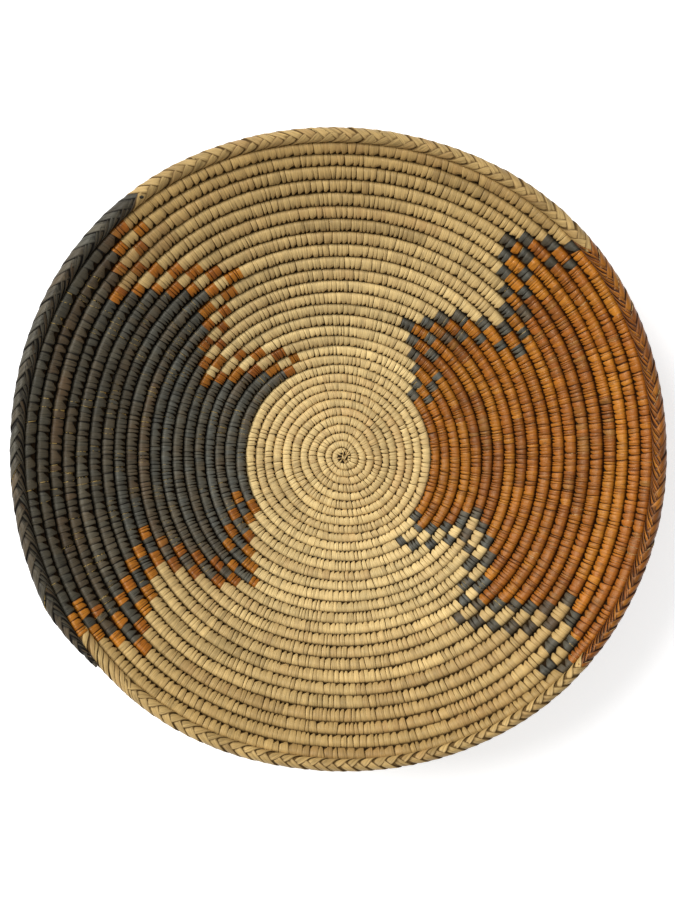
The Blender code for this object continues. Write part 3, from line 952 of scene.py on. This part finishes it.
def knot_lines(rng, share):
    """The middle lines and widths of the knot's strips, the crossed ones first."""
    centre = np.array([*KNOT_PLACE, 0])
    lines = []
    widths = []
    for turned, aside, half, wide in KNOT_STRIPS:
        angle = math.radians(turned)
        way = np.array([math.cos(angle), math.sin(angle), 0])
        over = np.array([-way[1], way[0], 0])
        bow = rng.normal(0, CROSSED_BOW) * MM
        line = centre + share[:, None] * way * half + over * aside
        line += over * (bow * share**2)[:, None]
        lines.append(knot_lifted(rng, line, share, CROSSED_HEIGHT))
        widths.append(wide * (1 - CROSSED_THIN * share**2))
    outward = (share + 1) / 2
    for degrees in TUCKED_DEG:
        angle = math.radians(degrees + rng.normal(0, TUCKED_SPREAD))
        way = np.array([math.cos(angle), math.sin(angle), 0])
        reach = TUCKED_INNER + (TUCKED_OUTER - TUCKED_INNER) * outward
        lines.append(knot_lifted(rng, centre + reach[:, None] * way, share, TUCKED_HEIGHT))
        widths.append(TUCKED_WIDTH * (TUCKED_LEAST + TUCKED_GROWTH * outward))
    return np.array(lines), np.array(widths)


def knot_strips(rng, material):
    """The strips of the knot, over it and again on its underside."""
    share = np.linspace(-1, 1, 9)
    over, widths = knot_lines(rng, share)
    under = over.copy()
    under[..., 2] = KNOT_FOOT + KNOT_UNDER * (KNOT_TOP - over[..., 2])
    lines = np.concatenate([over, under])
    widths = np.concatenate([widths, widths])
    up = np.zeros_like(lines)
    up[: len(over), :, 2] = 1
    up[len(over) :, :, 2] = -1
    count = len(lines)
    tone = rng.normal(0, 1, count)
    looks = np.stack([tone, rng.random(count), np.zeros(count), np.full(count, KNOT_RIM_SHIFT)], -1)
    folds = rng.uniform(*KNOT_FOLDS, count)
    level = np.zeros(len(share))
    rise = np.array([strip_rise(fold, level) for fold in folds]) * KNOT_THICK
    side = np.cross(up, np.gradient(lines, axis=1))
    side /= np.linalg.norm(side, axis=-1, keepdims=True)
    across = STRIP_ACROSS * widths[..., None]
    points = lines[:, :, None] + side[:, :, None] * across[..., None] + up[:, :, None] * rise[..., None]
    return strips_piece("start_knot", points, widths.max(1), looks, folds, material)


def knot_heap(material):
    steps = np.linspace(0, 1, HEAP_RINGS)[:, None]
    around = np.linspace(0, math.tau, HEAP_SIDES + 1)[:-1]
    wide = HEAP_RADIUS * np.minimum(1, np.sqrt(np.clip(1 - steps**2, 0, 1)) + HEAP_LEAST)
    wide = wide * (1 + HEAP_WAVE * np.sin(around * HEAP_LOBES + HEAP_TWIST * steps))
    x = KNOT_PLACE[0] + wide * np.cos(around)
    y = KNOT_PLACE[1] + wide * np.sin(around)
    z = KNOT_FOOT + (KNOT_TOP * HEAP_TOP - KNOT_FOOT) * steps + np.zeros_like(wide)
    points = np.stack([x, y, z], -1)
    number = np.arange(wide.size).reshape(wide.shape)
    faces = ring_faces(number).reshape(-1, 4)
    spread = points.reshape(-1, 3)[faces][..., :2] - np.array(KNOT_PLACE)
    sheet = spread / (HEAP_SHEET * HEAP_RADIUS) + 0.5
    blocks = [
        face_block(faces, spread, sheet, np.tile(HEAP_LOOK, (len(faces), 1))),
        cap_block(np.stack([number[0, ::-1], number[-1]])),
    ]
    # Every point of the heap takes the full painted shade.
    return make_mesh("start_knot_heap", points, np.ones(wide.size), blocks, material)


def fill(tree, made, inputs):
    """Sets or links a node's inputs, by name or number."""
    for key, value in inputs.items():
        socket = made.inputs[key]
        if isinstance(value, bpy.types.NodeSocket):
            tree.links.new(value, socket)
        elif socket.type == "RGBA":
            socket.default_value = (*value, 1)
        else:
            socket.default_value = value


def node_of(tree, kind, inputs=None, **settings):
    """Adds a shader node, with its own settings and its inputs."""
    made = tree.nodes.new(kind)
    for key, value in settings.items():
        setattr(made, key, value)
    fill(tree, made, inputs or {})
    return made


def maths(tree, operation, *inputs, clamp=False):
    inputs = dict(enumerate(inputs))
    return node_of(tree, "ShaderNodeMath", inputs, operation=operation, use_clamp=clamp).outputs[0]


def swing(tree, texture, size, onto):
    """A value, moved up and down by a texture."""
    return maths(tree, "MULTIPLY_ADD", maths(tree, "SUBTRACT", texture, 0.5), size, onto)


def face_value(tree, label):
    return node_of(tree, "ShaderNodeAttribute", attribute_name=label).outputs["Fac"]


def ramp(tree, fac, stops):
    made = node_of(tree, "ShaderNodeValToRGB", {0: fac})
    elements = made.color_ramp.elements
    while len(elements) < len(stops):
        elements.new(0.5)
    for element, (place, colour) in zip(elements, stops):
        element.position = place
        element.color = (*colour, 1)
    return made.outputs[0]


def mix(tree, fac, one, other, blend="MIX"):
    inputs = {0: fac, 6: one, 7: other}
    return node_of(tree, "ShaderNodeMix", inputs, data_type="RGBA", blend_type=blend).outputs[2]


def times(tree, colour, shares):
    """A colour times one number for each of red, green and blue."""
    made = node_of(tree, "ShaderNodeCombineColor", dict(enumerate(shares)))
    return mix(tree, 1.0, colour, made.outputs[0], "MULTIPLY")


def eased_range(tree, value, low, high, least=0.0):
    """A number, eased from between low and high to between least and 1."""
    inputs = {"Value": value, "From Min": low, "From Max": high, "To Min": least}
    return node_of(tree, "ShaderNodeMapRange", inputs, interpolation_type="SMOOTHSTEP").outputs[0]


def noise(tree, vector, scale, detail, roughness):
    inputs = {"Vector": vector, "Scale": scale, "Detail": detail, "Roughness": roughness}
    return node_of(tree, "ShaderNodeTexNoise", inputs).outputs["Fac"]


def fibre_noise(tree, along, scale, detail, roughness):
    """A noise drawn out along the strip."""
    made = node_of(tree, "ShaderNodeMapping", {"Vector": along, "Scale": scale})
    return noise(tree, made.outputs[0], 1.0, detail, roughness)


def leaf_colour(tree, along, textures, hues, rim_loss, tones, fibres, crease_shade):
    """The colour of a strip's face, with its tone, fibres and stains, its shift towards the rim and
    painted shade in creases.
    """
    fine, broad, stain = textures
    stain_hue = maths(tree, "MULTIPLY_ADD", stain, STAIN_HUE, -STAIN_HUE / 2)
    colour = ramp(tree, maths(tree, "ADD", face_value(tree, "hue"), stain_hue), hues)
    tone = maths(tree, "MULTIPLY_ADD", face_value(tree, "tone"), tones, 1.0)
    for texture, size in ((fine, fibres), (broad, fibres), (stain, STAIN_TONE)):
        tone = swing(tree, texture, size, tone)
    # The shift towards the rim: natural and dark leaves darker, rust lighter.
    left = [maths(tree, "MULTIPLY_ADD", face_value(tree, "rim_shift"), -share, 1.0) for share in rim_loss]
    colour = times(tree, colour, [maths(tree, "MULTIPLY", tone, share) for share in left])
    # Painted shade in thin creases along the strip.
    line = maths(tree, "SUBTRACT", fibre_noise(tree, along, *CREASES), 0.5)
    line = eased_range(tree, maths(tree, "ABSOLUTE", line), 0.0, CREASE_WIDTH, crease_shade)
    return times(tree, colour, [line] * 3)


def new_material(name):
    material = bpy.data.materials.new(name)
    material.use_nodes = True
    return material, material.node_tree, material.node_tree.nodes["Principled BSDF"]


def leaf_material(name, groove, cut, roughness, gloss, tint, **colouring):
    """Leaf strip: its own colour, fibres and stains, painted shade in grooves, seams and teeth, and
    paler cut edges.
    """
    material, tree, shader = new_material(name)
    along = node_of(tree, "ShaderNodeUVMap", uv_map="fibre").outputs[0]
    place = node_of(tree, "ShaderNodeTexCoord").outputs["Object"]
    fine = fibre_noise(tree, along, *FINE_FIBRES)
    broad = fibre_noise(tree, along, *BROAD_FIBRES)
    colour = leaf_colour(tree, along, (fine, broad, noise(tree, place, *STAINS)), **colouring)
    # How much painted shade each point takes, its edge broken up by noise.
    dip = swing(tree, noise(tree, place, *SHADE_NOISE), SHADE_NOISE_SIZE, face_value(tree, "dip"))
    dark = eased_range(tree, dip, *GROOVE_RANGE)
    broken = maths(tree, "GREATER_THAN", fibre_noise(tree, along, *BREAKS), BREAK_LEVEL)
    pale = maths(tree, "MULTIPLY", face_value(tree, "edge"), broken)
    # Painted shade: the groove's dark colour mixed in over the leaf's own colour.
    colour = mix(tree, dark, colour, groove)
    colour = mix(tree, maths(tree, "MULTIPLY", pale, EDGE_STRENGTH), colour, cut)
    rough = maths(tree, "MULTIPLY_ADD", fine, FIBRE_ROUGH, roughness - FIBRE_ROUGH / 2)
    rough = maths(tree, "MULTIPLY_ADD", dark, GROOVE_ROUGH, rough, clamp=True)
    height = maths(tree, "MULTIPLY_ADD", broad, BROAD_HEIGHT, fine)
    bump = node_of(tree, "ShaderNodeBump", {"Height": height, "Strength": 0.7, "Distance": 0.0002})
    fill(tree, shader, {"Base Color": colour, "Roughness": rough, "Normal": bump.outputs[0]})
    fill(tree, shader, {"Specular IOR Level": gloss, "Specular Tint": tint})
    return material


def placed(name, data):
    made = bpy.data.objects.new(name, data)
    bpy.context.scene.collection.objects.link(made)
    return made


def camera():
    """Straight above the bowl, as in the photograph."""
    data = bpy.data.cameras.new("camera")
    data.sensor_width = 36
    data.lens = 99.7
    eye = placed("camera", data)
    eye.location = (-0.0034, 0.0047, 1.6975)
    bpy.context.scene.camera = eye


def pale_floor():
    """A wide pale floor, a little brighter to the camera."""
    reach = 4.0
    corners = [(-reach, -reach, 0), (reach, -reach, 0), (reach, reach, 0), (-reach, reach, 0)]
    mesh = bpy.data.meshes.new("floor")
    mesh.from_pydata(corners, [], [(0, 1, 2, 3)])
    floor = placed("floor", mesh)
    material, tree, shader = new_material("floor")
    seen = node_of(tree, "ShaderNodeLightPath").outputs["Is Camera Ray"]
    glow = maths(tree, "MULTIPLY", seen, FLOOR_LIFT)
    fill(tree, shader, {"Base Color": (0.9, 0.9, 0.9), "Roughness": 0.9, "Specular IOR Level": 0.1})
    fill(tree, shader, {"Emission Color": WHITE, "Emission Strength": glow})
    mesh.materials.append(material)


def soft_light():
    """A broad soft lamp towards +Y, and an even pale room that looks white."""
    data = bpy.data.lights.new("soft_lamp", "SUN")
    data.angle = math.radians(40)
    data.energy = 3.1
    lamp = placed("soft_lamp", data)
    lamp.location = (-0.4, 0.8, 2.0)
    lamp.rotation_euler = (math.radians(-19), math.radians(-38), 0)
    world = bpy.data.worlds.new("room")
    world.use_nodes = True
    tree = world.node_tree
    seen = node_of(tree, "ShaderNodeLightPath").outputs["Is Camera Ray"]
    strength = maths(tree, "MULTIPLY_ADD", seen, 1 - ROOM_LIGHT, ROOM_LIGHT)
    fill(tree, tree.nodes["Background"], {"Color": WHITE, "Strength": strength})
    bpy.context.scene.world = world
    bpy.context.scene.view_settings.view_transform = "Standard"


def dress(piece, slot, *nodes):
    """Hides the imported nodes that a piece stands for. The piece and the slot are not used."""
    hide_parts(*nodes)


def wrap_rows(skin, leaves):
    """The wrapping, in pieces by colour, side, and inner or outer rows."""
    stitches = skin.stitches
    turn = stitches.middle
    upper = np.sin(turn * math.tau) > 0
    row = np.floor(turn) - CHART_TURN + np.where(turn % 1 > ROW_END, 2, 1)
    halves = (
        ("inner_rows", row <= INNER_ROWS, range(1, INNER_ROWS + 1)),
        ("outer_rows", row > INNER_ROWS, range(INNER_ROWS + 1, LAST_ROW + 1)),
    )
    natural = stitches.colour == "n"
    base = natural & (row < 1)
    parts = [("natural_base", "natural_leaf", base, ("base_coil", "wall_coil"))]
    for side, where in (("top", upper), ("bottom", ~upper)):
        for label, rows, _ in halves:
            chosen = natural & ~base & where & rows
            parts.append((f"natural_{side}_{label}", "natural_leaf", chosen, ("wall_coil",)))
    for word in ("dark", "rust"):
        for label, rows, numbers in halves:
            chosen = (stitches.colour == word[0]) & rows
            nodes = [f"{word}_wrap_{number:02d}" for number in numbers]
            parts.append((f"{word}_{label}", f"{word}_leaf", chosen, nodes))
    for name, leaf, chosen, nodes in parts:
        dress(stitch_piece(name, skin, chosen, leaves[leaf]), leaf, *nodes)


def main():
    rng = np.random.default_rng(SEED)
    camera()
    pale_floor()
    soft_light()
    coil = Coil(rng)
    skin = CoilSkin(coil, Stitches(coil, rng))
    leaves = {name: leaf_material(name, **look) for name, look in LEAVES.items()}
    wrap_rows(skin, leaves)
    # The bundle under the rows, all in painted shade, shows dark in the gaps between them.
    grass = tube_piece("grass_bundle", coil, (GRASS_START, BRAID_START), GRASS, leaves["grass"])
    dress(grass, "natural_leaf", "base_coil", "wall_coil")
    for name, word, *run in BRAID_RUNS:
        for piece in braid_run(name, coil, rng, run, BRAID_RIM_SHIFTS[word], leaves[f"{word}_leaf"]):
            dress(piece, f"{word}_braid", name)
    for piece in (knot_strips(rng, leaves["natural_leaf"]), knot_heap(leaves["grass"])):
        dress(piece, "start_knot", "start_knot")


main()
